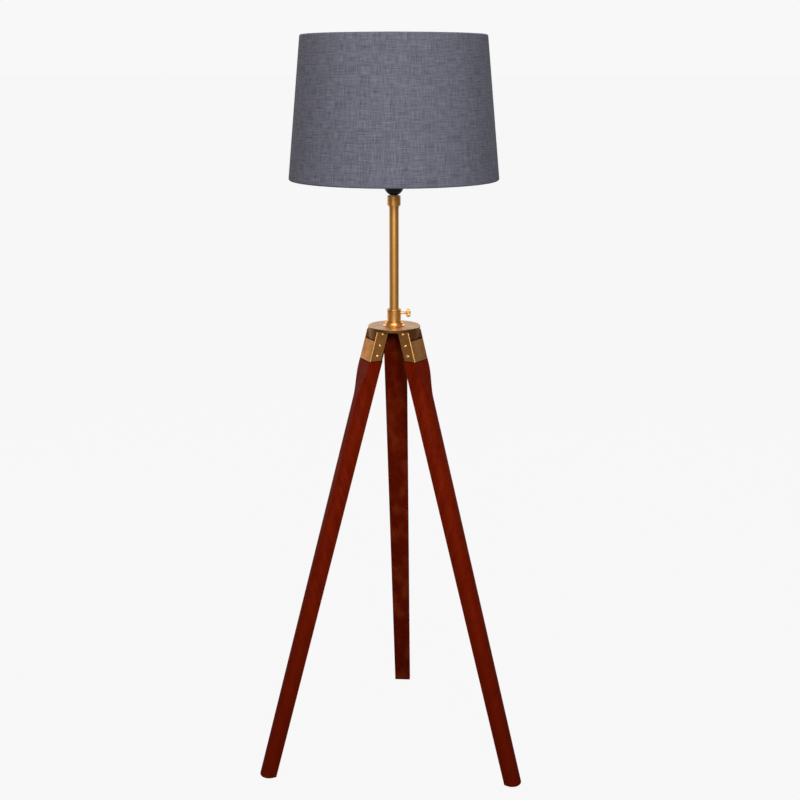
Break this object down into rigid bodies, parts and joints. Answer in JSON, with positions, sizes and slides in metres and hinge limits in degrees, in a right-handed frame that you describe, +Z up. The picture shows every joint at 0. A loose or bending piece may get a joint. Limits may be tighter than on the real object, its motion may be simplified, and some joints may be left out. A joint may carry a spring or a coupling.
{
  "type": "tripod floor lamp",
  "caption": "Adjustable-height tripod floor lamp: linen drum shade on a brass tube clamped in a round head with folding varnished wooden legs.",
  "frame": {"origin": "on the floor, in the middle of the object's own box; the pole's axis stands 52.5 mm in front of it, at y = -0.0525", "axes": "+Z up; the rear leg points to +Y; the thumbscrew points to +X; -Y is the front, between the two front legs"},
  "size_m": [0.5332, 0.5052, 1.46],
  "materials": {
    "brass": "satin lacquered brass",
    "steel": "plated steel",
    "screws": "bright brass",
    "wood": "dark red-brown stain under satin varnish",
    "linen": "plain-woven grey linen",
    "lining": "white laminated lining",
    "wire": "white powder coat",
    "black_plastic": "black moulded plastic",
    "ceramic": "white glazed ceramic",
    "glass": "frosted bulb glass"
  },
  "bodies": {
    "head": {"head_casting": "brass", "hub_boss": "brass", "hub_locknut": "steel", "clamp_collar": "brass", "collar_ring": "brass"},
    "sleeve": {"clamp_sleeve": "brass"},
    "pole": {"tube": "brass", "cable_bush": "black_plastic", "top_cap": "brass", "nipple": "steel", "nipple_locknut": "steel", "lampholder_cap": "black_plastic", "lampholder_skirt": "black_plastic", "lampholder_insert": "ceramic", "centre_contact": "brass", "shade_ring": "black_plastic", "bulb_cap": "steel", "bulb_contact": "black_plastic", "bulb_glass": "glass", "shade_fabric": "linen", "shade_lining": "lining", "shade_bottom_wire": "wire", "shade_top_wire": "wire", "shade_spider": "wire"},
    "thumbscrew": {"thumbscrew": "brass"},
    "rear_leg": {"leg_1": "wood", "bracket_1": "brass", "pivot_bolt_1": "brass", "pivot_nut_1": "brass", "screw_1_lower_left": "screws", "screw_1_lower_right": "screws", "screw_1_upper_left": "screws", "screw_1_upper_right": "screws"},
    "left_leg": {"leg_2": "wood", "bracket_2": "brass", "pivot_bolt_2": "brass", "pivot_nut_2": "brass", "screw_2_lower_left": "screws", "screw_2_lower_right": "screws", "screw_2_upper_left": "screws", "screw_2_upper_right": "screws"},
    "right_leg": {"leg_3": "wood", "bracket_3": "brass", "pivot_bolt_3": "brass", "pivot_nut_3": "brass", "screw_3_lower_left": "screws", "screw_3_lower_right": "screws", "screw_3_upper_left": "screws", "screw_3_upper_right": "screws"}
  },
  "joints": [
    {"name": "pole_swivel", "type": "hinge", "parent": "head", "child": "sleeve", "pos_m": [0, -0.05251, 0.93], "axis": [0, 0, 1], "range_deg": [-180, 180]},
    {"name": "pole_slide", "type": "slide", "parent": "sleeve", "child": "pole", "axis": [0, 0, 1], "range_m": [-0.195, 0]},
    {"name": "thumbscrew_turn", "type": "hinge", "parent": "head", "child": "thumbscrew", "pos_m": [0.02, -0.05251, 0.9385], "axis": [1, 0, 0], "range_deg": [0, 360]},
    {"name": "rear_leg_fold", "type": "hinge", "parent": "head", "child": "rear_leg", "pos_m": [0, -0.01746, 0.903], "axis": [-1, 0, 0], "range_deg": [0, 15.8]},
    {"name": "left_leg_fold", "type": "hinge", "parent": "head", "child": "left_leg", "pos_m": [-0.03035, -0.07003, 0.903], "axis": [0.5, -0.866, 0], "range_deg": [0, 15.8]},
    {"name": "right_leg_fold", "type": "hinge", "parent": "head", "child": "right_leg", "pos_m": [0.03035, -0.07003, 0.903], "axis": [0.5, 0.866, 0], "range_deg": [0, 15.8]}
  ]
}
